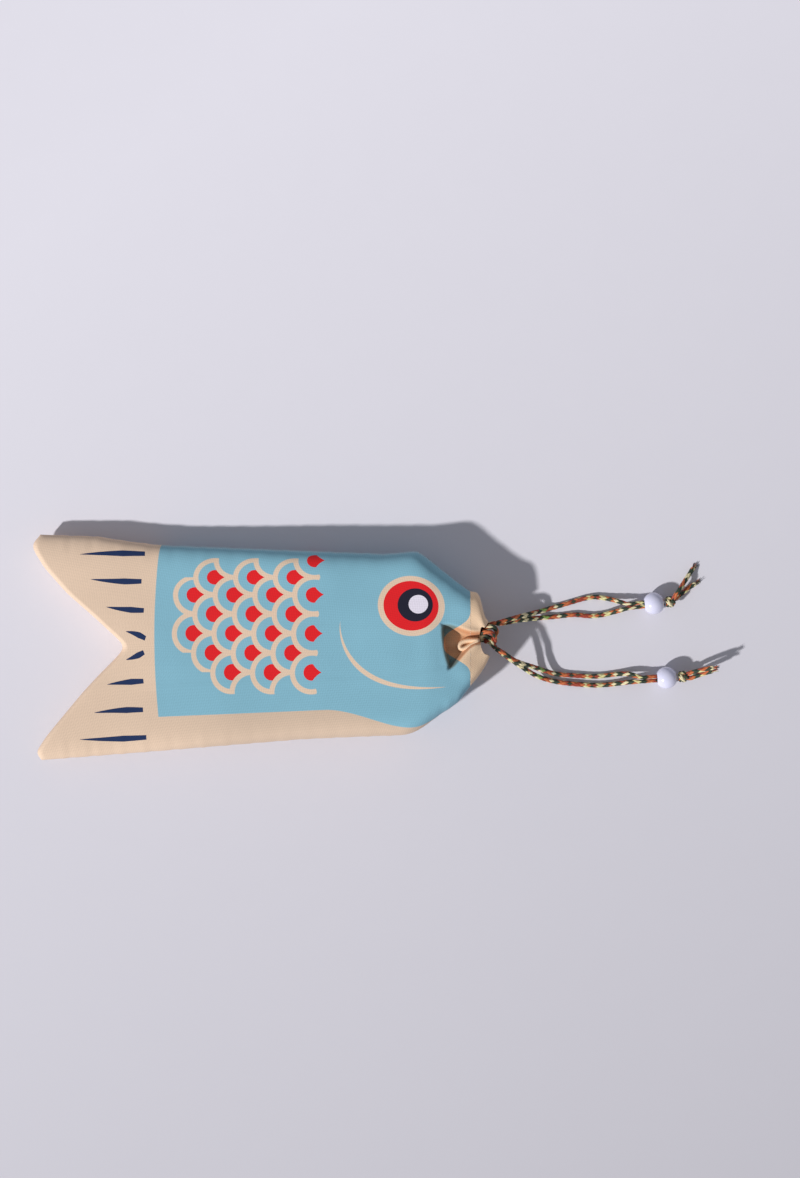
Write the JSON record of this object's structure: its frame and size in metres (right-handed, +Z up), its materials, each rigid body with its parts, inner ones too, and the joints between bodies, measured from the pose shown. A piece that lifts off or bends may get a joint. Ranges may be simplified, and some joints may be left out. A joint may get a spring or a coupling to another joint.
{
  "type": "carp streamer pouch",
  "caption": "Flat carp-shaped cloth drawstring pouch with a swallow tail, drawn shut at the mouth by doubled braided cords that end in beads and knots.",
  "frame": {"origin": "on the table under the middle of the cloth pouch, cords not counted", "axes": "+X from the tail to the mouth, +Y across towards the edge above the eye, +Z up from the table through the printed front"},
  "size_m": [0.3107, 0.1022, 0.0286],
  "materials": {
    "printed_cloth": "light blue printed canvas, matt",
    "cream_cloth": "cream canvas, matt",
    "thread": "cream sewing thread",
    "braided_cord": "multicolour braid of red, yellow, dark green and cream",
    "bead": "glossy bluish white"
  },
  "bodies": {
    "pouch": {"front_panel": "printed_cloth", "back_panel": "printed_cloth", "front_casing": "cream_cloth", "back_casing": "cream_cloth", "front_casing_stitches": "thread", "back_casing_stitches": "thread", "upper_side_stitches": "thread", "lower_side_stitches": "thread", "tail_stitches": "thread", "upper_cord_loop": "braided_cord", "lower_cord_loop": "braided_cord"},
    "upper_cord": {"upper_strand_a": "braided_cord", "upper_strand_b": "braided_cord", "upper_knot": "braided_cord", "upper_tail_a": "braided_cord", "upper_tail_b": "braided_cord"},
    "upper_bead": {"upper_bead": "bead"},
    "lower_cord": {"lower_strand_a": "braided_cord", "lower_strand_b": "braided_cord", "lower_knot": "braided_cord", "lower_tail_a": "braided_cord", "lower_tail_b": "braided_cord"},
    "lower_bead": {"lower_bead": "bead"}
  },
  "joints": [
    {"name": "upper_cord_swing", "type": "hinge", "parent": "pouch", "child": "upper_cord", "pos_m": [0.1066, 0.0108, 0.015], "axis": [0, 0, 1], "range_deg": [-6, 60]},
    {"name": "lower_cord_swing", "type": "hinge", "parent": "pouch", "child": "lower_cord", "pos_m": [0.1066, -0.0003, 0.015], "axis": [0, 0, 1], "range_deg": [-50, 6]},
    {"name": "upper_bead_slide", "type": "slide", "parent": "upper_cord", "child": "upper_bead", "axis": [-0.9945, -0.1045, 0], "range_m": [0, 0.006]},
    {"name": "lower_bead_slide", "type": "slide", "parent": "lower_cord", "child": "lower_bead", "axis": [-0.9976, -0.0698, 0], "range_m": [0, 0.006]}
  ]
}
